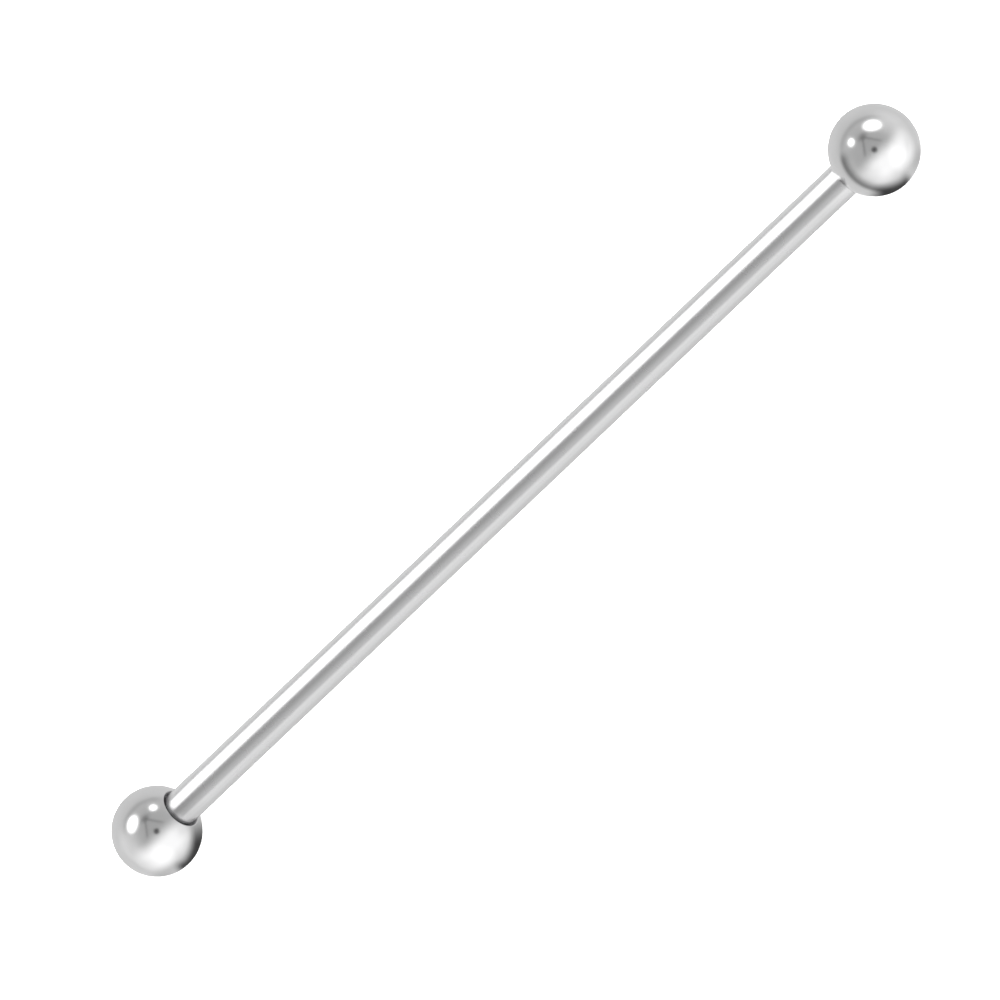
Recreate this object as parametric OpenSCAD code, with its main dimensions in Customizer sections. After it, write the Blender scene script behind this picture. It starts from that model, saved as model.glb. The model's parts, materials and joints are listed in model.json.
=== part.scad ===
// Industrial barbell: a long straight bar of polished steel with a screw-on ball at each end.
// The bar lies along X and rests on its two balls, with the floor at Z = 0.
// Every length is in millimetres.

/* [Bar] */
// Diameter of the polished shaft, which is 14 gauge
bar_d = 1.6; // [1.4:0.05:2.2]
// Length of shaft that shows between the two balls
bar_length = 48; // [16:1:60]

/* [Posts] */
// Outer diameter of the turned-down post at each end of the bar
post_d = 1.2; // [0.8:0.05:1.35]
// Length of a post, from the shaft's shoulder to its tip
post_length = 2.2; // [1.2:0.1:2.7]
// Bevel on the tip of a post
post_bevel = 0.15; // [0.05:0.05:0.3]
// Bevel on the edge of the shaft's shoulder
shoulder_bevel = 0.05; // [0.02:0.01:0.1]

/* [Balls] */
// Diameter of each ball
ball_d = 4; // [3.4:0.1:8]
// Depth of the seat that takes the end of the shaft
seat_depth = 0.2; // [0.16:0.01:0.4]
// Countersink round the mouth of the seat, as wide as it is deep
mouth_bevel = 0.1; // [0.02:0.01:0.14]
// Full angle of the drill point at the blind end of the bore, in degrees
drill_angle = 118; // [90:1:140]

/* [Fits] */
// Gap all round between a post and its bore
bore_gap = 0.03; // [0.01:0.01:0.08]
// Gap all round between the shaft and its seat
seat_gap = 0.04; // [0.02:0.01:0.1]
// Gap between the shaft's shoulder and the floor of the seat
shoulder_gap = 0.02; // [0.01:0.01:0.05]
// Room left between the tip of a post and the blind end of the bore
tip_gap = 0.25; // [0.1:0.05:0.5]

/* [Hidden] */
$fn = 96;

// The cutter starts this far outside the ball, so that the seat is open
cut_past = 0.5;

steel = [0.8, 0.8, 0.81];
ball_steel = [0.72, 0.73, 0.74];

bar_r = bar_d / 2;
post_r = post_d / 2;
ball_r = ball_d / 2;

seat_r = bar_r + seat_gap;
mouth_r = seat_r + mouth_bevel;
bore_r = post_r + bore_gap;
bore_depth = post_length - shoulder_gap + tip_gap;
drill_depth = bore_r / tan(drill_angle / 2);

// Distance from a ball's centre to the plane of its mouth, where the bevel meets the sphere
mouth_offset = sqrt(pow(ball_r, 2) - pow(mouth_r, 2));

// Stations along the bar, measured from its middle
mouth_x = bar_length / 2;
ball_x = mouth_x + mouth_offset;
shoulder_x = mouth_x + seat_depth - shoulder_gap;
tip_x = shoulder_x + post_length;

// One half of the bar's section, from the shaft out to a post's tip
half_section = [
    [bar_r, shoulder_x - shoulder_bevel],
    [bar_r - shoulder_bevel, shoulder_x],
    [post_r, shoulder_x],
    [post_r, tip_x - post_bevel],
    [post_r - post_bevel, tip_x],
    [0, tip_x]
];

// Section of the space inside a ball, from outside its mouth to the drill point
hollow_section = [
    [0, -cut_past],
    [mouth_r + cut_past, -cut_past],
    [seat_r, mouth_bevel],
    [seat_r, seat_depth],
    [bore_r, seat_depth],
    [bore_r, seat_depth + bore_depth],
    [0, seat_depth + bore_depth + drill_depth]
];

function reversed(points) = [for (i = [len(points) - 1:-1:0]) points[i]];
function other_end(points) = [for (p = points) [p.x, -p.y]];

// Turns a section about the bar's axis, with its length starting at a station along X
module turned(section, start_x = 0) {
    translate([start_x, 0, ball_r])
        rotate([0, 90, 0])
            rotate_extrude()
                polygon(section);
}

// A ball with a blind bore, screwed on to the post at the +X end of the bar
module drilled_ball() {
    difference() {
        translate([ball_x, 0, ball_r]) sphere(r = ball_r);
        turned(hollow_section, mouth_x);
    }
}

module bar() {
    color(steel) turned(concat(half_section, reversed(other_end(half_section))));
}

module left_ball() {
    color(ball_steel) mirror([1, 0, 0]) drilled_ball();
}

module right_ball() {
    color(ball_steel) drilled_ball();
}

bar();
left_ball();
right_ball();
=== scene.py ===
"""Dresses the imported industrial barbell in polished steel, on a plain pale studio floor.

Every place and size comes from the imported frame, in metres. The bar lies along X on its two balls. Each
piece is turned on a small Geometry Nodes lathe from its half section, which also cuts the screw threads.
"""
import json
import logging
import math
from collections.abc import Callable
from dataclasses import dataclass
from enum import Enum

import bmesh
import bpy
from mathutils import Matrix, Vector


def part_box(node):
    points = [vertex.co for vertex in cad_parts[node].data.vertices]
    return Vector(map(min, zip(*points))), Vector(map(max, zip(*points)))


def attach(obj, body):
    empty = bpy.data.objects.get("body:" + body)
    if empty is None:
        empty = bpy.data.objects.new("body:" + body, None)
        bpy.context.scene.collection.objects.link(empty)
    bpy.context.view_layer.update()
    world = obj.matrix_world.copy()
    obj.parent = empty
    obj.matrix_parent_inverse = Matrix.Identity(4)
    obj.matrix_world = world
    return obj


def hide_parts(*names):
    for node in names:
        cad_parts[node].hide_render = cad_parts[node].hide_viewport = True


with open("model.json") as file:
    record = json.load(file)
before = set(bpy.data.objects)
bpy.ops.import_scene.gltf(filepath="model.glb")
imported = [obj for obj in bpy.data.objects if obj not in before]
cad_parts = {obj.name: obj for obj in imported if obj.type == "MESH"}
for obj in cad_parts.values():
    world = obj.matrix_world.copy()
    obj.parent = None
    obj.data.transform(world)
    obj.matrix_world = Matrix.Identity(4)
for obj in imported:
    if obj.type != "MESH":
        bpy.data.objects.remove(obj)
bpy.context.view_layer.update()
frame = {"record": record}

MM = 0.001
NOISE_MIDDLE = 0.5
Socket = bpy.types.NodeSocket
log = logging.getLogger("barbell")


class Side(Enum):
    """The two ends of the bar, by the way each one points along X."""

    LEFT = -1
    RIGHT = 1

    @property
    def node(self) -> str:
        """The ball's node in the frame, and its body's name."""
        return f"{self.name.lower()}_ball"


class Skin(Enum):
    """How a stretch of the turned metal is finished, as the value of the machined attribute. A machined
    stretch is also darker, and in the balls' seats that is painted shade.
    """

    POLISHED = 0.0
    MACHINED = 1.0


@dataclass(frozen=True)
class Station:
    """One point of a half section.

    x is the place along the bar and r the radius, both in metres. thread is the depth of the thread there,
    from 0 for none to 1 for full, and skin is the finish.
    """

    x: float
    r: float
    thread: float = 0.0
    skin: Skin = Skin.POLISHED


@dataclass(frozen=True)
class Fits:
    """The small sizes of the joint between bar and ball, in metres, and the drill's angle, in radians."""

    post_d: float = 1.2 * MM
    post_bevel: float = 0.15 * MM
    shoulder_bevel: float = 0.05 * MM
    seat_depth: float = 0.2 * MM
    mouth_bevel: float = 0.1 * MM
    mouth_round: float = 0.02 * MM
    seat_gap: float = 0.04 * MM
    shoulder_gap: float = 0.02 * MM
    tip_gap: float = 0.25 * MM
    drill_angle: float = math.radians(118)


@dataclass(frozen=True)
class Sizes:
    """The barbell's sizes, in metres, read from the frame.

    Places along X are those of the right end: ball_x is the ball's centre, mouth_x its mouth, shoulder_x
    where the shaft steps down to the post, and tip_x the post's end.
    """

    shaft_r: float
    ball_r: float
    ball_x: float
    mouth_x: float
    shoulder_x: float
    tip_x: float
    fits: Fits

    @classmethod
    def from_frame(cls, fits: Fits) -> "Sizes":
        """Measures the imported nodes.

        Args:
            fits: the sizes inside the joint, which no box shows.

        Returns:
            The sizes of the whole barbell.
        """
        mounts = {mount["name"]: mount for mount in frame["record"]["mounts"]}
        ball_low, ball_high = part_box(Side.RIGHT.node)
        bar_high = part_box("bar")[1]
        ball_r = (ball_high[2] - ball_low[2]) / 2
        return cls(
            shaft_r=mounts["shaft"]["dims"]["r_mm"] * MM,
            ball_r=ball_r,
            ball_x=ball_high[0] - ball_r,
            mouth_x=ball_low[0],
            shoulder_x=ball_low[0] + fits.seat_depth - fits.shoulder_gap,
            tip_x=bar_high[0],
            fits=fits,
        )

    def ball_centre(self, side: Side) -> Vector:
        """Works out the centre of the ball on that side."""
        return Vector((side.value * self.ball_x, 0, self.ball_r))


@dataclass(frozen=True)
class Thread:
    """A right-hand screw thread, in metres.

    rows_per_turn is how many stations each turn gets, and run_out how far it takes to reach full depth.
    """

    pitch: float = 0.25 * MM
    depth: float = 0.13 * MM
    rows_per_turn: int = 10
    run_out: float = 0.2 * MM

    def stations(self, start: float, end: float, r: float) -> list[Station]:
        """Walks along a threaded stretch of constant radius.

        Args:
            start: where the stretch begins along X.
            end: where it ends, on either side of the start.
            r: the radius before the thread is cut.

        Returns:
            Evenly spaced stations, with the thread fading in and out at the two ends.
        """
        length = abs(end - start)
        rows = math.ceil(length / self.pitch * self.rows_per_turn)
        walked = [length * row / rows for row in range(rows + 1)]
        way = math.copysign(1, end - start)
        return [
            Station(start + way * s, r, min(1.0, s / self.run_out, (length - s) / self.run_out),
                    Skin.MACHINED)
            for s in walked
        ]


def arc(centre: tuple[float, float], radius: float, start: float, end: float,
        steps: int) -> list[Station]:
    """Places stations on a polished arc of a half section.

    Args:
        centre: the arc's centre, as a place along X and a radius from the axis.
        radius: the arc's own radius.
        start: the first angle, in degrees from +X towards larger radii.
        end: the last angle.
        steps: the number of equal steps.

    Returns:
        The stations, both ends included.
    """
    angles = [math.radians(start + (end - start) * step / steps) for step in range(steps + 1)]
    return [
        Station(centre[0] + radius * math.cos(a), max(0.0, centre[1] + radius * math.sin(a)))
        for a in angles
    ]


class Tree:
    """A small helper that adds and joins nodes in one node tree."""

    def __init__(self, tree: bpy.types.NodeTree) -> None:
        """Keeps the tree that the helper works on."""
        self.tree = tree

    def add(self, kind: str, settings: dict | None = None, **inputs: object) -> bpy.types.Node:
        """Adds a node and fills its inputs.

        Args:
            kind: the node's type name.
            settings: the node's own properties.
            inputs: socket names, with spaces as underscores, or in_0, in_1 for sockets by number. A value is
                either an output socket to link or a plain value to set.

        Returns:
            The new node.
        """
        node = self.tree.nodes.new(kind)
        for name, value in (settings or {}).items():
            setattr(node, name, value)
        for name, value in inputs.items():
            key = int(name.removeprefix("in_")) if name.startswith("in_") else name.replace("_", " ")
            if isinstance(value, Socket):
                self.tree.links.new(value, node.inputs[key])
            else:
                node.inputs[key].default_value = value
        return node

    def faded(self, value: Socket, reach: tuple[float, float], levels: tuple[float, float]) -> Socket:
        """Fades smoothly from one level to another in a shader.

        Args:
            value: what drives the fade.
            reach: the two values between which it fades.
            levels: the results at those two values.

        Returns:
            The result's socket.
        """
        node = self.add("ShaderNodeMapRange", {"interpolation_type": "SMOOTHSTEP"}, in_0=value,
                        in_1=reach[0], in_2=reach[1], in_3=levels[0], in_4=levels[1])
        return node.outputs[0]

    def math(self, operation: str, *values: object, clamp: bool = False) -> Socket:
        """Adds a Math node.

        Args:
            operation: what it does.
            values: its inputs in order, as sockets or numbers.
            clamp: whether the result is held between 0 and 1.

        Returns:
            The result's socket.
        """
        inputs = {f"in_{number}": value for number, value in enumerate(values)}
        return self.add("ShaderNodeMath", {"operation": operation, "use_clamp": clamp}, **inputs).outputs[0]

    def vector(self, operation: str, *values: object) -> Socket:
        """Adds a Vector Math node.

        Args:
            operation: what it does.
            values: its inputs in order, as sockets or vectors.

        Returns:
            The result's socket, which is a number for a length or a dot product.
        """
        inputs = {f"in_{number}": value for number, value in enumerate(values)}
        node = self.add("ShaderNodeVectorMath", {"operation": operation}, **inputs)
        return node.outputs["Value" if operation in ("LENGTH", "DOT_PRODUCT") else "Vector"]

    def noise(self, place: Socket, scale: float, detail: float) -> Socket:
        """Adds a Noise Texture.

        Args:
            place: where it is read.
            scale: how many of its lumps go into a unit of length.
            detail: how many finer layers lie over it.

        Returns:
            The socket of its value, which wanders round NOISE_MIDDLE.
        """
        return self.add("ShaderNodeTexNoise", Vector=place, Scale=scale, Detail=detail).outputs["Fac"]


def bare_tree(owner: bpy.types.ID) -> Tree:
    """Empties a shader.

    Args:
        owner: the material, light or world that it belongs to.

    Returns:
        The helper that fills it again.
    """
    owner.use_nodes = True
    owner.node_tree.nodes.clear()
    return Tree(owner.node_tree)


def in_scene(name: str, data: bpy.types.ID) -> bpy.types.Object:
    """Makes an object and links it to the scene.

    Args:
        name: the object's name.
        data: its mesh, light or camera.

    Returns:
        The object.
    """
    thing = bpy.data.objects.new(name, data)
    bpy.context.scene.collection.objects.link(thing)
    return thing


class Lathe:
    """A Geometry Nodes tree that turns a half section about the bar's axis and cuts a thread into it.

    A groove's flank runs from THREAD_CREST to THREAD_ROOT, as shares of the way from the middle of a crest
    to the middle of the next root. Points nearer than WELD are merged.
    """

    THREAD_CREST = 0.12
    THREAD_ROOT = 0.86
    WELD = 0.0001 * MM

    def __init__(self) -> None:
        """Builds the tree, with its sizes as named inputs."""
        self.group = bpy.data.node_groups.new("lathe", "GeometryNodeTree")
        panel = self.group.interface
        panel.new_socket("Half Section", in_out="INPUT", socket_type="NodeSocketGeometry")
        self.sockets = {
            name: panel.new_socket(name, in_out="INPUT", socket_type=kind).identifier
            for name, kind in (
                ("Segments", "NodeSocketInt"), ("Axis Height", "NodeSocketFloat"),
                ("Pitch", "NodeSocketFloat"), ("Thread Depth", "NodeSocketFloat"),
                ("Finish", "NodeSocketMaterial"),
            )
        }
        panel.new_socket("Turned Piece", in_out="OUTPUT", socket_type="NodeSocketGeometry")
        self._wire()

    def _wire(self) -> None:
        """Adds and joins the nodes: a grid of stations by angles, rolled up round the axis and welded."""
        tree = Tree(self.group)
        given = tree.add("NodeGroupInput").outputs
        section = given["Half Section"]
        stations = tree.add("GeometryNodeAttributeDomainSize", in_0=section).outputs["Point Count"]
        columns = tree.math("ADD", given["Segments"], 1)
        grid = tree.add("GeometryNodeMeshGrid", Vertices_X=stations, Vertices_Y=columns).outputs["Mesh"]
        index = tree.add("GeometryNodeInputIndex").outputs[0]
        # Half a point is added, so that rounding never puts a row's first point in the row before.
        row = tree.math("FLOOR", tree.math("DIVIDE", tree.math("ADD", index, 0.5), columns))
        column = tree.math("SUBTRACT", index, tree.math("MULTIPLY", row, columns))
        angle = tree.math("MULTIPLY", tree.math("DIVIDE", column, given["Segments"]), math.tau)
        position = tree.add("GeometryNodeInputPosition").outputs[0]
        position = self._sampled(tree, section, row, "FLOAT_VECTOR", position)
        place = tree.add("ShaderNodeSeparateXYZ", in_0=position).outputs
        thread = self._sampled(tree, section, row, "FLOAT", self._named(tree, "thread"))
        machined = self._sampled(tree, section, row, "FLOAT", self._named(tree, "machined"))
        turns = tree.math("SUBTRACT", tree.math("DIVIDE", place["X"], given["Pitch"]),
                          tree.math("DIVIDE", angle, math.tau))
        ridge = tree.math("PINGPONG", tree.math("MULTIPLY", turns, 2.0), 1.0)
        groove = tree.math("DIVIDE", tree.math("SUBTRACT", ridge, self.THREAD_CREST),
                           self.THREAD_ROOT - self.THREAD_CREST, clamp=True)
        cut = tree.math("MULTIPLY", tree.math("MULTIPLY", groove, thread), given["Thread Depth"])
        radius = tree.math("SUBTRACT", place["Z"], cut)
        y = tree.math("MULTIPLY", radius, tree.math("COSINE", angle))
        z = tree.math("ADD", tree.math("MULTIPLY", radius, tree.math("SINE", angle)), given["Axis Height"])
        rolled = tree.add("ShaderNodeCombineXYZ", X=place["X"], Y=y, Z=z).outputs[0]
        turned = tree.add("GeometryNodeSetPosition", Geometry=grid, Position=rolled).outputs[0]
        turned = tree.add("GeometryNodeStoreNamedAttribute", {"data_type": "FLOAT", "domain": "POINT"},
                          Geometry=turned, Name="machined", Value=machined).outputs[0]
        welded = tree.add("GeometryNodeMergeByDistance", Geometry=turned, Distance=self.WELD).outputs[0]
        real = tree.add("GeometryNodeRealizeInstances", Geometry=welded).outputs[0]
        dressed = tree.add("GeometryNodeSetMaterial", Geometry=real, Material=given["Finish"]).outputs[0]
        tree.add("NodeGroupOutput", in_0=dressed)

    @staticmethod
    def _named(tree: Tree, name: str) -> Socket:
        """Reads one of the section's own attributes."""
        return tree.add("GeometryNodeInputNamedAttribute", {"data_type": "FLOAT"}, Name=name).outputs[0]

    @staticmethod
    def _sampled(tree: Tree, section: Socket, row: Socket, kind: str, value: Socket) -> Socket:
        """Looks up a value of the half section.

        Args:
            tree: the lathe's own tree.
            section: the half section.
            row: the number of the station to look at.
            kind: the value's data type.
            value: the value on the half section.

        Returns:
            The value at that station.
        """
        return tree.add("GeometryNodeSampleIndex", {"data_type": kind, "domain": "POINT"},
                        Geometry=section, Value=value, Index=row).outputs[0]

    def turn(self, name: str, stations: list[Station], segments: int, thread: Thread, cut: float,
             axis_z: float, finish: bpy.types.Material) -> bpy.types.Object:
        """Turns one piece and makes it a plain mesh.

        Args:
            name: the finished piece's name.
            stations: its half section, from axis to axis.
            segments: the number of faces round it.
            thread: the thread to cut.
            cut: how deep the thread is cut, less than 0 to cut outwards from a bore.
            axis_z: the height of the axis above the floor.
            finish: its material.

        Returns:
            The object, at the origin.
        """
        section = bpy.data.meshes.new(f"{name}_section")
        section.from_pydata([(s.x, 0.0, s.r) for s in stations], [], [])
        for attribute, values in (
            ("thread", [s.thread for s in stations]), ("machined", [s.skin.value for s in stations]),
        ):
            section.attributes.new(attribute, "FLOAT", "POINT").data.foreach_set("value", values)
        blank = in_scene(f"{name}_blank", section)
        modifier = blank.modifiers.new("lathe", "NODES")
        modifier.node_group = self.group
        for socket, value in (
            ("Segments", segments), ("Axis Height", axis_z), ("Pitch", thread.pitch),
            ("Thread Depth", cut), ("Finish", finish),
        ):
            modifier[self.sockets[socket]] = value
        graph = bpy.context.evaluated_depsgraph_get()
        mesh = bpy.data.meshes.new_from_object(blank.evaluated_get(graph), preserve_all_data_layers=True,
                                               depsgraph=graph)
        mesh.name = name
        bpy.data.objects.remove(blank)
        bpy.data.meshes.remove(section)
        self._smooth(mesh)
        return in_scene(name, mesh)

    @staticmethod
    def _smooth(mesh: bpy.types.Mesh, crease: float = math.radians(28)) -> None:
        """Turns the faces outwards and shades the mesh smooth, apart from its sharp edges.

        Args:
            mesh: the turned mesh.
            crease: the angle past which an edge is sharp, in radians.
        """
        work = bmesh.new()
        work.from_mesh(mesh)
        bmesh.ops.recalc_face_normals(work, faces=work.faces)
        for face in work.faces:
            face.smooth = True
        for edge in work.edges:
            edge.smooth = edge.calc_face_angle(0.0) < crease
        work.to_mesh(mesh)
        work.free()


@dataclass(frozen=True)
class MirrorSteel:
    """Surgical steel with a mirror polish, and a plainer, darker cut finish where the machined attribute
    says so. In the balls' seats that darker tint is painted shade round the shaft.

    tint is the metal's colour, made brighter on the balls and darker on the bar as painted light and shade,
    haze the roughness of the polish, and haze_spread how far it wanders.
    ripple is the height of the slow waves that hand polishing leaves, in metres, and ripple_size their
    length. hairline is the height of the fine lines that run round the piece, and line_scale how many of
    them go into a metre along X, Y and Z. smear is how many times finer than the waves the haze wanders.
    cut_tint is the colour of a machined face, darker than the polish, and in the balls' seats it is painted
    shade in the recess. cut_haze is what it adds to the roughness.
    """

    name: str
    tint: tuple[float, float, float]
    haze: float
    haze_spread: float
    ripple: float
    ripple_size: float
    hairline: float
    line_scale: tuple[float, float, float] = (60 / MM, 4 / MM, 4 / MM)
    smear: float = 2.6
    cut_tint: tuple[float, float, float] = (0.42, 0.42, 0.43)
    cut_haze: float = 0.3

    def material(self) -> bpy.types.Material:
        """Builds the shader.

        Returns:
            The material, whose patterns all read Object coordinates.
        """
        material = bpy.data.materials.new(self.name)
        tree = bare_tree(material)
        place = tree.add("ShaderNodeTexCoord").outputs["Object"]
        machined = tree.add("ShaderNodeAttribute", {"attribute_name": "machined"}).outputs["Fac"]
        slow = tree.noise(place, 1 / self.ripple_size, detail=1.0)
        smear = tree.noise(place, self.smear / self.ripple_size, detail=3.0)
        drawn = tree.add("ShaderNodeMapping", Vector=place, Scale=self.line_scale).outputs[0]
        lines = tree.noise(drawn, 1.0, detail=2.0)
        wander = tree.math("MULTIPLY", tree.math("SUBTRACT", smear, NOISE_MIDDLE), self.haze_spread)
        polish = tree.math("ADD", wander, self.haze)
        rough = tree.math("ADD", polish, tree.math("MULTIPLY", machined, self.cut_haze), clamp=True)
        # Machined faces take the darker cut tint. Where it lines the balls' seats, it is painted shade round
        # the shaft.
        colour = tree.add("ShaderNodeMix", {"data_type": "RGBA"}, in_0=machined, A=(*self.tint, 1),
                          B=(*self.cut_tint, 1)).outputs["Result"]
        waves = tree.add("ShaderNodeBump", Height=slow, Distance=self.ripple, Strength=1.0).outputs[0]
        fine = tree.add("ShaderNodeBump", Height=lines, Distance=self.hairline, Strength=1.0,
                        Normal=waves).outputs[0]
        shader = tree.add("ShaderNodeBsdfPrincipled", Base_Color=colour, Roughness=rough, Normal=fine,
                          Metallic=1.0)
        tree.add("ShaderNodeOutputMaterial", Surface=shader.outputs[0])
        return material


@dataclass
class Bar:
    """The straight shaft with a threaded post at each end.

    segments is the number of faces round it, shaft_rows the number along the shaft, and lip_steps the
    number round each rounded shoulder.
    """

    sizes: Sizes
    thread: Thread
    lathe: Lathe
    finish: bpy.types.Material
    segments: int = 128
    shaft_rows: int = 24
    lip_steps: int = 5

    def _end(self) -> list[Station]:
        """Lists the stations of the right end.

        Returns:
            The stations from the shaft's last full radius to the post's tip.
        """
        size, fits = self.sizes, self.sizes.fits
        post_r = fits.post_d / 2
        lip = fits.shoulder_bevel
        edge = arc((size.shoulder_x - lip, size.shaft_r - lip), lip, 90, 0, self.lip_steps)
        root = [Station(size.shoulder_x, post_r, skin=Skin.MACHINED)]
        thread = self.thread.stations(size.shoulder_x, size.tip_x - fits.post_bevel, post_r)
        tip = [
            Station(size.tip_x, post_r - fits.post_bevel, skin=Skin.MACHINED),
            Station(size.tip_x, 0.0, skin=Skin.MACHINED),
        ]
        return edge + root + thread[1:] + tip

    def stations(self) -> list[Station]:
        """Lists the whole half section.

        Returns:
            The stations from the left tip to the right one.
        """
        end = self._end()
        left = [Station(-s.x, s.r, s.thread, s.skin) for s in reversed(end)]
        reach = end[0].x
        rows = range(1, self.shaft_rows)
        shaft = [Station(reach * (2 * row / self.shaft_rows - 1), self.sizes.shaft_r) for row in rows]
        return left + shaft + end

    def build(self) -> bpy.types.Object:
        """Turns the bar and hands it to its body.

        Returns:
            The finished bar.
        """
        piece = self.lathe.turn("polished_bar", self.stations(), self.segments, self.thread,
                                self.thread.depth, self.sizes.ball_r, self.finish)
        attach(piece, "bar")
        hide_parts("bar")
        log.info("bar: %d faces", len(piece.data.polygons))
        return piece


@dataclass
class ScrewBall:
    """A polished ball with a seat for the shaft and a tapped blind bore for the post.

    segments is the number of faces round the bar's axis, sphere_steps the number along the sphere, and
    lip_steps the number round the mouth's edge. mouth_end is the direction, in degrees, in which that
    rounding runs out into the countersink of 45 degrees. crest_gap is the room between the post and the
    crests of the bore's thread, and bore_share that thread's depth as a share of the post's.
    """

    side: Side
    sizes: Sizes
    thread: Thread
    lathe: Lathe
    finish: bpy.types.Material
    segments: int = 160
    sphere_steps: int = 90
    lip_steps: int = 5
    mouth_end: float = 225.0
    crest_gap: float = 0.015 * MM
    bore_share: float = 0.7

    def _mouth(self, seat_r: float) -> list[Station]:
        """Rounds the sharp edge between the sphere and the countersink.

        Args:
            seat_r: the radius of the seat that the countersink runs down to.

        Returns:
            The stations of the rounding, from the sphere to the countersink.
        """
        size, fits = self.sizes, self.sizes.fits
        inner = size.ball_r - fits.mouth_round
        lean = size.mouth_x - size.ball_x + seat_r + fits.mouth_bevel + math.sqrt(2) * fits.mouth_round
        r = (lean + math.sqrt(2 * inner ** 2 - lean ** 2)) / 2
        x = size.ball_x + lean - r
        meets = math.degrees(math.atan2(r, x - size.ball_x))
        return arc((x, r), fits.mouth_round, meets, self.mouth_end, self.lip_steps)

    def stations(self) -> list[Station]:
        """Lists the right ball's half section. The outer half of its countersink is polished. The inner half
        and the seat are machined, and their darker tint is painted shade in the seam.

        Returns:
            The stations from its far pole round to the drill point.
        """
        size, fits = self.sizes, self.sizes.fits
        seat_r = size.shaft_r + fits.seat_gap
        bore_r = fits.post_d / 2 + self.crest_gap
        mouth = self._mouth(seat_r)
        meets = math.degrees(math.atan2(mouth[0].r, mouth[0].x - size.ball_x))
        sphere = arc((size.ball_x, 0.0), size.ball_r, 0, meets, self.sphere_steps)
        floor_x = size.mouth_x + fits.seat_depth
        end_x = size.tip_x + fits.tip_gap
        half = fits.mouth_bevel / 2
        # The seat is machined, and its darker tint is painted shade that darkens the seam round the shaft.
        seat = [
            Station(x, r, skin=Skin.MACHINED) for x, r in (
                (size.mouth_x + half, seat_r + half), (size.mouth_x + fits.mouth_bevel, seat_r),
                (floor_x, seat_r), (floor_x, bore_r),
            )
        ]
        bore = self.thread.stations(floor_x, end_x, bore_r)[1:]
        point = [Station(end_x + bore_r / math.tan(fits.drill_angle / 2), 0.0, skin=Skin.MACHINED)]
        return sphere + mouth[1:] + seat + bore + point

    def build(self) -> bpy.types.Object:
        """Turns the ball on its own side and hands it to its body.

        Returns:
            The finished ball.
        """
        way = self.side.value
        stations = [Station(way * s.x, s.r, s.thread, s.skin) for s in self.stations()]
        piece = self.lathe.turn(f"polished_{self.side.node}", stations, self.segments, self.thread,
                                -self.thread.depth * self.bore_share, self.sizes.ball_r, self.finish)
        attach(piece, self.side.node)
        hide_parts(self.side.node)
        log.info("%s: %d faces", self.side.node, len(piece.data.polygons))
        return piece


@dataclass(frozen=True)
class Mirror:
    """What the camera sees reflected in the balls and the shaft.

    back points from the barbell to the camera. A place on a ball is given in ball radii and one on the
    shaft in shaft radii, as the picture shows them: along the bar towards its right end, and across it
    towards the floor.
    """

    back: Vector

    @property
    def along(self) -> Vector:
        """The picture's direction along the bar."""
        return (Vector((1, 0, 0)) - self.back * self.back.x).normalized()

    @property
    def across(self) -> Vector:
        """The picture's direction across the bar."""
        return self.along.cross(self.back)

    def _reflected(self, normal: Vector) -> Vector:
        """Works out where light comes from that reaches the camera off a face with this normal."""
        return 2 * normal.dot(self.back) * normal - self.back

    def in_ball(self, across: float, along: float) -> Vector:
        """Works out which way a place on a ball mirrors.

        Args:
            across: the place across the bar, in ball radii.
            along: the place along the bar, in ball radii.

        Returns:
            The unit vector towards what shows there.
        """
        depth = math.sqrt(1 - across ** 2 - along ** 2)
        return self._reflected(across * self.across + along * self.along + depth * self.back)

    def in_shaft(self, across: float) -> Vector:
        """Works out which way a line along the shaft mirrors.

        Args:
            across: the line's place across the shaft, in shaft radii.

        Returns:
            The unit vector towards what shows there.
        """
        facing = (self.back - Vector((self.back.x, 0, 0))).normalized()
        return self._reflected(across * self.across + math.sqrt(1 - across ** 2) * facing)


def placed(x: Vector, y: Vector, z: Vector, at: Vector) -> Matrix:
    """Makes the matrix of an object with those axes at that place."""
    return Matrix.Translation(at) @ Matrix((x, y, z)).transposed().to_4x4()


Glow = Callable[[Tree], Socket]


def round_glow(feather: float) -> Glow:
    """Draws a round light.

    Args:
        feather: the share of the way from the middle of the face to its edge over which it fades out.

    Returns:
        A function that adds the nodes to a light's tree and returns the share of light at each point.
    """
    def draw(tree: Tree) -> Socket:
        """Fades the face out from its middle.

        Args:
            tree: the light's tree.

        Returns:
            The share of light.
        """
        face = tree.add("ShaderNodeNewGeometry").outputs["Parametric"]
        # The face's own coordinates run from 0 to 1, and from -1 to 1 once its middle is at 0.
        spot = tree.vector("MULTIPLY_ADD", face, (2.0, 2.0, 0.0), (-1.0, -1.0, 0.0))
        return tree.faded(tree.vector("LENGTH", spot), (1 - feather, 1.0), (1.0, 0.0))

    return draw


@dataclass(frozen=True)
class Softbox:
    """A flat soft light.

    length and width are in metres, and its own X axis runs along its length. radiance is how bright its
    face looks where it is fully lit, and glow draws the share of light over the face, or is None for an
    even one.
    """

    name: str
    place: Matrix
    length: float
    width: float
    radiance: float
    glow: Glow | None = None

    def build(self, lit: bpy.types.Object) -> None:
        """Adds the area light, which lights one object alone.

        Args:
            lit: the object that it lights.
        """
        data = bpy.data.lights.new(self.name, "AREA")
        data.shape = "RECTANGLE"
        data.size = self.length
        data.size_y = self.width
        # A flat face of even radiance gives off pi times its area.
        data.energy = self.radiance * math.pi * self.length * self.width
        if self.glow is not None:
            tree = bare_tree(data)
            share = tree.add("ShaderNodeEmission", Strength=self.glow(tree))
            tree.add("ShaderNodeOutputLight", Surface=share.outputs[0])
        light = in_scene(self.name, data)
        light.matrix_world = self.place
        light.visible_camera = False
        group = bpy.data.collections.new(f"{self.name}_lights")
        group.objects.link(lit)
        light.light_linking.receiver_collection = group


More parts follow.
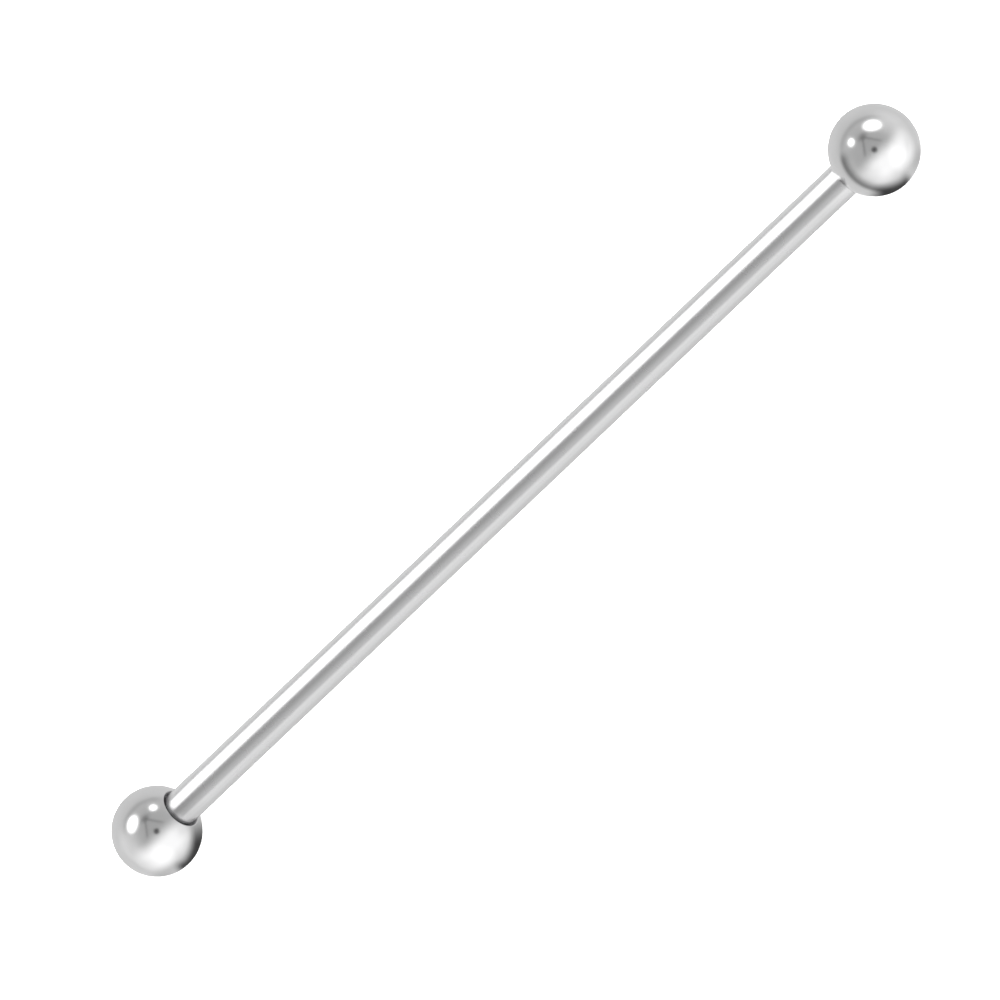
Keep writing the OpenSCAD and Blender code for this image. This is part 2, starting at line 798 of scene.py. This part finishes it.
@dataclass(frozen=True)
class Window:
    """A softbox's reflection in a ball, as the picture shows it.

    across and along are its middle, and length and width its sizes, all in ball radii. lean is the angle,
    in degrees, from the direction across the bar to its length. The softbox fades out by feather towards
    its edge, and hangs at the distance, in metres, from the ball's centre.
    """

    name: str
    across: float
    along: float
    length: float
    width: float
    lean: float = 0.0
    radiance: float = 2.0
    feather: float = 0.6
    distance: float = 0.3

    def softbox(self, mirror: Mirror, ball: Vector) -> Softbox:
        """Hangs the softbox where it shows as this window.

        Args:
            mirror: what the camera sees in the balls.
            ball: the ball's centre.

        Returns:
            The softbox, facing the ball.
        """
        lean = math.radians(self.lean)
        edges = []
        for size, turn in ((self.length, lean), (self.width, lean + math.pi / 2)):
            step = Vector((math.cos(turn), math.sin(turn))) * size / 2
            ends = [mirror.in_ball(self.across + way * step.x, self.along + way * step.y) for way in (1, -1)]
            edges.append((ends[0] - ends[1]) * self.distance)
        out = mirror.in_ball(self.across, self.along)
        x = (edges[0] - out * edges[0].dot(out)).normalized()
        place = placed(x, out.cross(x), out, ball + out * self.distance)
        return Softbox(self.name, place, edges[0].length, edges[1].length, self.radiance,
                       round_glow(self.feather))


@dataclass(frozen=True)
class Band:
    """A softbox's reflection along the whole shaft, as the picture shows it.

    upper and lower are its two edges across the shaft, in shaft radii. distance is how far the softbox is
    from the axis, and margin how far it runs past what the shaft's two ends mirror, both in metres.
    """

    name: str
    upper: float
    lower: float
    radiance: float
    distance: float = 0.15
    margin: float = 0.3

    def softbox(self, mirror: Mirror, sizes: Sizes) -> Softbox:
        """Hangs the softbox, parallel to the bar, where it shows as this band.

        Args:
            mirror: what the camera sees in the shaft.
            sizes: the barbell's sizes.

        Returns:
            The softbox, facing the bar.
        """
        low, high = (mirror.in_shaft(across) for across in (self.lower, self.upper))
        low_rise, high_rise = (math.atan2(way.z, -way.y) for way in (low, high))
        half = (high_rise - low_rise) / 2
        rise = low_rise + half
        out = Vector((0, -math.cos(rise), math.sin(rise)))
        slope = high.x / math.hypot(high.y, high.z)
        axis = Vector((0, 0, sizes.ball_r))
        x = Vector((1, 0, 0))
        place = placed(x, out.cross(x), out, axis + (out + x * slope) * self.distance)
        length = 2 * (sizes.mouth_x + self.margin)
        return Softbox(self.name, place, length, 2 * self.distance * math.tan(half), self.radiance)


@dataclass(frozen=True)
class PhotoCamera:
    """A long lens that frames the barbell as the photograph does.

    lean is how far the bar's right end leans out of the picture towards the camera, and elevation the
    camera's height above the floor, both in degrees. lens is the focal length and sensor the sensor's
    width, in millimetres. The pixels are those of the balls' centres in the photograph's frame, which is
    frame_px wide and high. rounds is how many times the aim is corrected, and reach how many times nearer
    and farther than the barbell the camera still sees.
    """

    lean: float = 34.0
    elevation: float = 18.0
    lens: float = 1200.0
    sensor: float = 36.0
    frame_px: float = 1000.0
    right_px: tuple[float, float] = (874.2, 149.95)
    left_px: tuple[float, float] = (156.85, 831.05)
    rounds: int = 12
    reach: float = 10.0

    def back(self) -> Vector:
        """Works out which way the camera is.

        Returns:
            The unit vector from the barbell to the camera.
        """
        elevation = math.radians(self.elevation)
        azimuth = math.asin(math.sin(math.radians(self.lean)) / math.cos(elevation))
        return Vector((
            math.sin(azimuth) * math.cos(elevation),
            -math.cos(azimuth) * math.cos(elevation),
            math.sin(elevation),
        ))

    def build(self, sizes: Sizes) -> None:
        """Aims and rolls the camera until both balls' centres fall on their pixels.

        Args:
            sizes: the barbell's sizes.
        """
        back = self.back()
        level = Vector((0, 0, 1)).cross(back).normalized()
        focal = self.lens / self.sensor * self.frame_px
        centres = [sizes.ball_centre(side) for side in Side]
        wanted = [
            Vector((x - self.frame_px / 2, self.frame_px / 2 - y)) for x, y in (self.left_px, self.right_px)
        ]
        span = wanted[1] - wanted[0]
        aim = Vector((0, 0, sizes.ball_r))
        roll = 0.0
        distance = focal * 2 * sizes.ball_x / span.length
        for _ in range(self.rounds):
            right = Matrix.Rotation(roll, 3, back) @ level
            up = back.cross(right)
            eye = aim + back * distance
            seen = []
            for centre in centres:
                ray = centre - eye
                seen.append(Vector((ray.dot(right), ray.dot(up))) * focal / -ray.dot(back))
            now = seen[1] - seen[0]
            offset = (seen[0] + seen[1] - wanted[0] - wanted[1]) / 2 * distance / focal
            aim += right * offset.x + up * offset.y
            roll += math.atan2(now.y, now.x) - math.atan2(span.y, span.x)
            distance *= now.length / span.length
        data = bpy.data.cameras.new("camera")
        data.lens = self.lens
        data.sensor_width = self.sensor
        data.clip_start = distance / self.reach
        data.clip_end = distance * self.reach
        camera = in_scene("camera", data)
        camera.matrix_world = placed(right, up, back, eye)
        bpy.context.scene.camera = camera
        log.info("camera: %.3f m away, rolled %.1f degrees", distance, math.degrees(roll))


@dataclass(frozen=True)
class Spot:
    """The place on a ball that mirrors a direction, as sockets of a shader.

    across, along and out, its distance from the ball's middle, are in ball radii. turn is its turn round
    the ball, in radians from the direction across the bar to that along it.
    """

    across: Socket
    along: Socket
    out: Socket
    turn: Socket


def between(tree: Tree, turn: Socket, ends: tuple[float, float], softs: tuple[float, float]) -> Socket:
    """Marks the turns between two ends.

    Args:
        tree: the shader that it is added to.
        turn: the turn, in radians.
        ends: the two ends, in degrees.
        softs: how far each end fades to either side of it, in degrees.

    Returns:
        The mark, 1 between the ends and 0 outside.
    """
    marks = [
        tree.faded(turn, (math.radians(end - soft), math.radians(end + soft)), levels)
        for end, soft, levels in zip(ends, softs, ((0.0, 1.0), (1.0, 0.0)))
    ]
    return tree.math("MULTIPLY", *marks)


@dataclass(frozen=True)
class Shadow:
    """A dark thing in the room, as a ball mirrors it.

    across and along are its middle on a ball, in ball radii. inner and outer are how far from there it
    begins and ends to fade, and depth is the share of light that it takes away. stretch is how many times
    longer it is along the bar than across it.
    """

    across: float
    along: float
    inner: float
    outer: float
    depth: float
    stretch: float = 1.0

    def share(self, tree: Tree, spot: Spot) -> Socket:
        """Draws the share of light that the shadow takes away.

        Args:
            tree: the shader that it is added to.
            spot: the place on the ball.

        Returns:
            The share's socket.
        """
        offset = tree.add("ShaderNodeCombineXYZ", X=tree.math("SUBTRACT", spot.across, self.across),
                          Y=tree.math("DIVIDE", tree.math("SUBTRACT", spot.along, self.along), self.stretch))
        away = tree.vector("LENGTH", offset.outputs[0])
        return tree.faded(away, (self.inner, self.outer), (self.depth, 0.0))


@dataclass(frozen=True)
class Flap:
    """The slit in the tent that the camera looks through, as a ball mirrors it.

    It opens from a point at tip across the ball to half_width on either side at foot, all in ball radii.
    line is the half width of its dark rim. rim and inside are the shares of light that the rim and the
    slit itself take away.
    """

    tip: float = -0.37
    foot: float = -0.04
    half_width: float = 0.24
    line: float = 0.05
    rim: float = 0.48
    inside: float = 0.05

    def share(self, tree: Tree, spot: Spot) -> Socket:
        """Draws the share of light that the flap takes away.

        Args:
            tree: the shader that it is added to.
            spot: the place on the ball.

        Returns:
            The share's socket.
        """
        slope = self.half_width / (self.foot - self.tip)
        edge = tree.math("MULTIPLY", tree.math("SUBTRACT", spot.across, self.tip), slope)
        over = tree.math("SUBTRACT", tree.math("ABSOLUTE", spot.along), edge)
        dark = tree.math("ADD", tree.faded(tree.math("ABSOLUTE", over), (0.0, self.line), (self.rim, 0.0)),
                         tree.faded(over, (-self.line, 0.0), (self.inside, 0.0)))
        begins = tree.faded(spot.across, (self.tip - self.line, self.tip + self.line), (0.0, 1.0))
        ends = tree.faded(spot.across, (self.foot - self.line, self.foot + self.line), (1.0, 0.0))
        return tree.math("MULTIPLY", dark, tree.math("MULTIPLY", begins, ends))


@dataclass(frozen=True)
class Seam:
    """The seam round the tent's front, on the side away from the floor, as a ball mirrors it.

    out is its distance from the ball's middle and line its half width, in ball radii. ends is where it
    fades in on either side, in degrees round the ball from the direction across the bar, and depth is the
    share of light that it takes away.
    """

    out: float = 0.7
    line: float = 0.08
    ends: tuple[float, float] = (118.0, 145.0)
    depth: float = 0.24

    def share(self, tree: Tree, spot: Spot) -> Socket:
        """Draws the share of light that the seam takes away.

        Args:
            tree: the shader that it is added to.
            spot: the place on the ball.

        Returns:
            The share's socket.
        """
        off = tree.math("ABSOLUTE", tree.math("SUBTRACT", spot.out, self.out))
        ends = tuple(math.radians(end) for end in self.ends)
        return tree.math("MULTIPLY", tree.faded(off, (0.0, self.line), (self.depth, 0.0)),
                         tree.faded(tree.math("ABSOLUTE", spot.turn), ends, (0.0, 1.0)))


@dataclass(frozen=True)
class Gap:
    """The dark gap under the light tent, as a ball mirrors it.

    It follows two arcs that meet halfway along the ball. The middle of each is shift away from the ball's,
    towards the floor and towards the ball's other end. inner is where it begins, and outer where it ends
    between its first turn and the bend. turns are its two ends, in degrees round the ball from the
    direction across the bar to that along it, and soft is how far each fades to either side. depth is the
    share of light that it takes away, and thin_depth that before the bend. Each other pair is where a fade
    begins and ends.
    """

    shift: float = 0.1
    inner: tuple[float, float] = (0.66, 0.88)
    outer: tuple[float, float] = (0.83, 0.93)
    turns: tuple[float, float] = (-125.0, 52.0)
    soft: tuple[float, float] = (11.0, 26.0)
    bend: tuple[float, float] = (-52.0, -28.0)
    depth: float = 0.92
    thin_depth: float = 0.78

    def share(self, tree: Tree, spot: Spot) -> Socket:
        """Draws the share of light that the gap takes away.

        Args:
            tree: the shader that it is added to.
            spot: the place on the ball.

        Returns:
            The share's socket.
        """
        offset = tree.add("ShaderNodeCombineXYZ", X=tree.math("SUBTRACT", spot.across, self.shift),
                          Y=tree.math("ADD", tree.math("ABSOLUTE", spot.along), self.shift)).outputs[0]
        out = tree.vector("LENGTH", offset)
        bend = tuple(math.radians(end) for end in self.bend)
        beyond = tree.math("MULTIPLY", tree.faded(out, self.outer, (0.0, 1.0)),
                           tree.faded(spot.turn, bend, (1.0, 0.0)))
        share = tree.math("MULTIPLY", tree.faded(out, self.inner, (0.0, 1.0)),
                          tree.faded(spot.turn, bend, (self.thin_depth, self.depth)))
        share = tree.math("MULTIPLY", share, tree.math("SUBTRACT", 1.0, beyond))
        return tree.math("MULTIPLY", share, between(tree, spot.turn, self.turns, self.soft))


@dataclass
class Room:
    """The light tent round the studio, drawn as a ball mirrors it.

    Its walls are front at the middle of a ball and rear towards the rim, and brighter by ends towards the
    ball's two ends. A white card fills the side towards the floor, from card_edge across the ball outwards,
    and its brightness falls by card_end towards the ball's two ends and by card_side towards its edge. Past
    the card lies the dark gap, and the flap, the seam, the lens and the lamp's arm show dark on the walls.
    Each pair of two numbers is where a fade begins and ends, in ball radii. stir is how far the brightness
    wanders, and stir_scale how finely.
    """

    mirror: Mirror
    front: float = 0.47
    rear: float = 0.68
    rear_reach: tuple[float, float] = (0.4, 0.95)
    ends: float = 0.04
    ends_reach: tuple[float, float] = (0.1, 0.6)
    card: float = 1.22
    card_edge: tuple[float, float] = (-0.04, 0.3)
    card_end: float = 0.4
    card_end_reach: tuple[float, float] = (0.1, 0.75)
    card_side: float = 0.38
    card_side_reach: tuple[float, float] = (0.5, 0.85)
    stir: float = 0.16
    stir_scale: float = 2.2
    gap: Gap = Gap()
    flap: Flap = Flap()
    seam: Seam = Seam()
    lens: Shadow = Shadow(across=0.0, along=0.0, inner=0.045, outer=0.08, depth=0.95)
    lamp_arm: Shadow = Shadow(across=-0.38, along=0.0, inner=0.0, outer=0.11, depth=0.52, stretch=1.7)

    def _spot(self, tree: Tree, way: Socket) -> Spot:
        """Works out where a ball mirrors what lies in a direction.

        Args:
            tree: the shader that it is added to.
            way: the direction from the ball.

        Returns:
            The place on the ball.
        """
        normal = tree.vector("NORMALIZE", tree.vector("ADD", way, tuple(self.mirror.back)))
        across, along, facing = (
            tree.vector("DOT_PRODUCT", normal, tuple(axis))
            for axis in (self.mirror.across, self.mirror.along, self.mirror.back)
        )
        squared = tree.math("SUBTRACT", 1.0, tree.math("MULTIPLY", facing, facing), clamp=True)
        return Spot(across, along, tree.math("SQRT", squared), tree.math("ARCTAN2", along, across))

    def _bright(self, tree: Tree, way: Socket, spot: Spot) -> Socket:
        """Draws the walls and the card, before what is dark.

        Args:
            tree: the shader that it is added to.
            way: the direction from the ball.
            spot: where the ball mirrors it.

        Returns:
            The brightness.
        """
        aside = tree.math("ABSOLUTE", spot.along)
        walls = tree.faded(spot.out, self.rear_reach, (self.front, self.rear))
        walls = tree.math("MULTIPLY", walls, tree.faded(aside, self.ends_reach, (1.0, 1 + self.ends)))
        card = tree.faded(aside, self.card_end_reach, (self.card, self.card * (1 - self.card_end)))
        card = tree.math("MULTIPLY", card,
                         tree.faded(spot.across, self.card_side_reach, (1.0, 1 - self.card_side)))
        share = tree.faded(spot.across, self.card_edge, (0.0, 1.0))
        grey = tree.math("MULTIPLY_ADD", share, tree.math("SUBTRACT", card, walls), walls)
        noise = tree.math("SUBTRACT", tree.noise(way, self.stir_scale, detail=2.0), NOISE_MIDDLE)
        stir = tree.math("MULTIPLY_ADD", noise, self.stir, 1.0)
        return tree.math("MULTIPLY", grey, stir)

    def hidden(self, ball: Vector, turns: tuple[float, float], soft: float) -> Glow:
        """Draws what one ball would mirror where the gap lies, between two turns.

        Args:
            ball: the ball's centre.
            turns: the two turns, in degrees.
            soft: how far each fades to either side of it, in degrees.

        Returns:
            A function that adds the nodes to a light's tree and returns the brightness at each point.
        """
        def draw(tree: Tree) -> Socket:
            """Gives back the light that the gap takes away.

            Args:
                tree: the light's tree.

            Returns:
                The brightness.
            """
            place = tree.add("ShaderNodeNewGeometry").outputs["Position"]
            way = tree.vector("NORMALIZE", tree.vector("SUBTRACT", place, tuple(ball)))
            spot = self._spot(tree, way)
            taken = tree.math("MULTIPLY", self._bright(tree, way, spot), self.gap.share(tree, spot))
            return tree.math("MULTIPLY", taken, between(tree, spot.turn, turns, (soft, soft)))

        return draw

    def build(self) -> None:
        """Builds the world's shader."""
        world = bpy.data.worlds.new("room")
        tree = bare_tree(world)
        way = tree.add("ShaderNodeTexCoord").outputs["Generated"]
        spot = self._spot(tree, way)
        grey = self._bright(tree, way, spot)
        for dark in (self.gap, self.flap, self.seam, self.lens, self.lamp_arm):
            grey = tree.math("MULTIPLY", grey, tree.math("SUBTRACT", 1.0, dark.share(tree, spot)))
        light = tree.add("ShaderNodeBackground", Color=grey, Strength=1.0)
        tree.add("ShaderNodeOutputWorld", Surface=light.outputs[0])
        bpy.context.scene.world = world


@dataclass(frozen=True)
class Fill:
    """A card beside one ball.

    turn is the card's middle round the ball, in degrees from the direction across the bar to that along
    it, and out how far it is from the ball's middle, in ball radii. spread is its size as the ball sees it,
    in degrees, and distance how far it is from the ball's centre, in metres. hides is the stretch of the
    room's dark gap that it hides from the ball, as two turns that fade by soft to either side. It is None
    for a plain round card, whose middle looks as bright as radiance and which fades out by feather.
    """

    name: str
    turn: float
    out: float
    spread: float
    hides: tuple[float, float] | None = None
    soft: float = 8.0
    radiance: float = 1.0
    feather: float = 0.9
    distance: float = 0.2

    def softbox(self, room: Room, ball: Vector) -> Softbox:
        """Stands the card up as a softbox that faces the ball.

        Args:
            room: the room, with what the camera sees mirrored in the balls.
            ball: the ball's centre.

        Returns:
            The softbox.
        """
        mirror = room.mirror
        turn = math.radians(self.turn)
        out = mirror.in_ball(self.out * math.cos(turn), self.out * math.sin(turn))
        x = (mirror.back - out * out.dot(mirror.back)).normalized()
        size = 2 * self.distance * math.tan(math.radians(self.spread / 2))
        place = placed(x, out.cross(x), out, ball + out * self.distance)
        glow = round_glow(self.feather) if self.hides is None else room.hidden(ball, self.hides, self.soft)
        return Softbox(self.name, place, size, size, self.radiance, glow)


@dataclass
class Studio:
    """The pale floor, the softboxes and the room round them.

    floor_r is the floor's radius and floor_sides the number of its edges. key_rise is the key light's
    height above the floor, in degrees, with its distance and size in metres. bands are the softboxes that
    the shaft mirrors, windows those of each ball, where the nearer one shows larger, and fills the cards.
    """

    sizes: Sizes
    mirror: Mirror
    bar: bpy.types.Object
    balls: dict[Side, bpy.types.Object]
    floor_r: float = 3.0
    floor_sides: int = 96
    floor_grey: float = 0.8
    key_rise: float = 21.0
    key_distance: float = 0.6
    key_size: float = 0.3
    key_radiance: float = 190.0
    bands: tuple[Band, ...] = (
        Band("long_softbox", upper=-0.68, lower=-0.22, radiance=2.0),
        Band("back_card", upper=-0.97, lower=-0.78, radiance=0.36),
        Band("low_card", upper=0.42, lower=0.98, radiance=0.57),
        Band("under_card", upper=0.66, lower=0.98, radiance=0.28),
    )
    windows: tuple[tuple[Side, Window], ...] = (
        (Side.LEFT, Window("left_near_softbox", across=-0.478, along=-0.277, length=0.56, width=0.3,
                           lean=-56)),
        (Side.LEFT, Window("left_far_softbox", across=-0.426, along=0.298, length=0.19, width=0.21)),
        (Side.RIGHT, Window("right_near_softbox", across=-0.416, along=0.326, length=0.57, width=0.31,
                            lean=56)),
        (Side.RIGHT, Window("right_far_softbox", across=-0.457, along=-0.251, length=0.2, width=0.21)),
    )
    fills: tuple[tuple[Side, Fill], ...] = (
        (Side.LEFT, Fill("left_cover", turn=-75, out=0.85, spread=118, hides=(-170, -15))),
        (Side.LEFT, Fill("left_end_card", turn=-105, out=0.66, spread=95, radiance=0.17)),
        (Side.LEFT, Fill("left_side_card", turn=-48, out=0.62, spread=100, radiance=0.32)),
        (Side.RIGHT, Fill("right_cover", turn=33, out=0.93, spread=88, hides=(9, 90))),
        (Side.RIGHT, Fill("right_end_card", turn=105, out=0.66, spread=95, radiance=0.17)),
        (Side.RIGHT, Fill("right_side_card", turn=48, out=0.62, spread=100, radiance=0.32)),
    )

    def _floor(self) -> bpy.types.Object:
        """Lays a round matt floor under the barbell.

        Returns:
            The floor.
        """
        material = bpy.data.materials.new("pale_floor")
        tree = bare_tree(material)
        grey = self.floor_grey
        shader = tree.add("ShaderNodeBsdfDiffuse", Color=(grey, grey, grey, 1))
        tree.add("ShaderNodeOutputMaterial", Surface=shader.outputs[0])
        mesh = bpy.data.meshes.new("floor")
        work = bmesh.new()
        bmesh.ops.create_circle(work, cap_ends=True, segments=self.floor_sides, radius=self.floor_r)
        work.to_mesh(mesh)
        work.free()
        mesh.materials.append(material)
        floor = in_scene("floor", mesh)
        floor.visible_glossy = False
        floor.visible_shadow = False
        return floor

    def _key(self) -> Softbox:
        """Stands the key light on the camera's side, so that the barbell hides its own shadow.

        Returns:
            The key light.
        """
        rise = math.radians(self.key_rise)
        out = Vector((self.mirror.back.x, self.mirror.back.y, 0)).normalized() * math.cos(rise)
        out.z = math.sin(rise)
        x = Vector((0, 0, 1)).cross(out).normalized()
        place = placed(x, out.cross(x), out, out * self.key_distance)
        return Softbox("key_softbox", place, self.key_size, self.key_size, self.key_radiance)

    def build(self) -> None:
        """Makes the floor, the room and the lights."""
        room = Room(self.mirror)
        room.build()
        self._key().build(self._floor())
        for band in self.bands:
            band.softbox(self.mirror, self.sizes).build(self.bar)
        for side, window in self.windows:
            window.softbox(self.mirror, self.sizes.ball_centre(side)).build(self.balls[side])
        for side, fill in self.fills:
            fill.softbox(room, self.sizes.ball_centre(side)).build(self.balls[side])
        bpy.context.scene.view_settings.view_transform = "Standard"
        log.info("studio: floor, room and softboxes")


def main() -> None:
    """Builds the barbell, the studio and the camera, in that order."""
    logging.basicConfig(level=logging.INFO, format="%(message)s")
    sizes = Sizes.from_frame(Fits())
    thread = Thread()
    lathe = Lathe()
    # The bar and the balls are one steel. The balls' brighter tint and the bar's darker one are painted
    # light and shade, which brighten what the balls mirror and dim what the shaft mirrors.
    shaded_bar_steel = MirrorSteel("shaded_bar_steel", tint=(0.553, 0.553, 0.556), haze=0.27, haze_spread=0.04,
                            ripple=0.0002 * MM, ripple_size=3 * MM, hairline=0.00001 * MM)
    ball_steel = MirrorSteel("ball_steel", tint=(0.8, 0.8, 0.803), haze=0.17, haze_spread=0.04,
                             ripple=0.0004 * MM, ripple_size=1.5 * MM, hairline=0.00001 * MM)
    bar = Bar(sizes, thread, lathe, shaded_bar_steel.material()).build()
    ball_finish = ball_steel.material()
    balls = {side: ScrewBall(side, sizes, thread, lathe, ball_finish).build() for side in Side}
    camera = PhotoCamera()
    Studio(sizes, Mirror(camera.back()), bar, balls).build()
    camera.build(sizes)


if __name__ == "__main__":
    main()
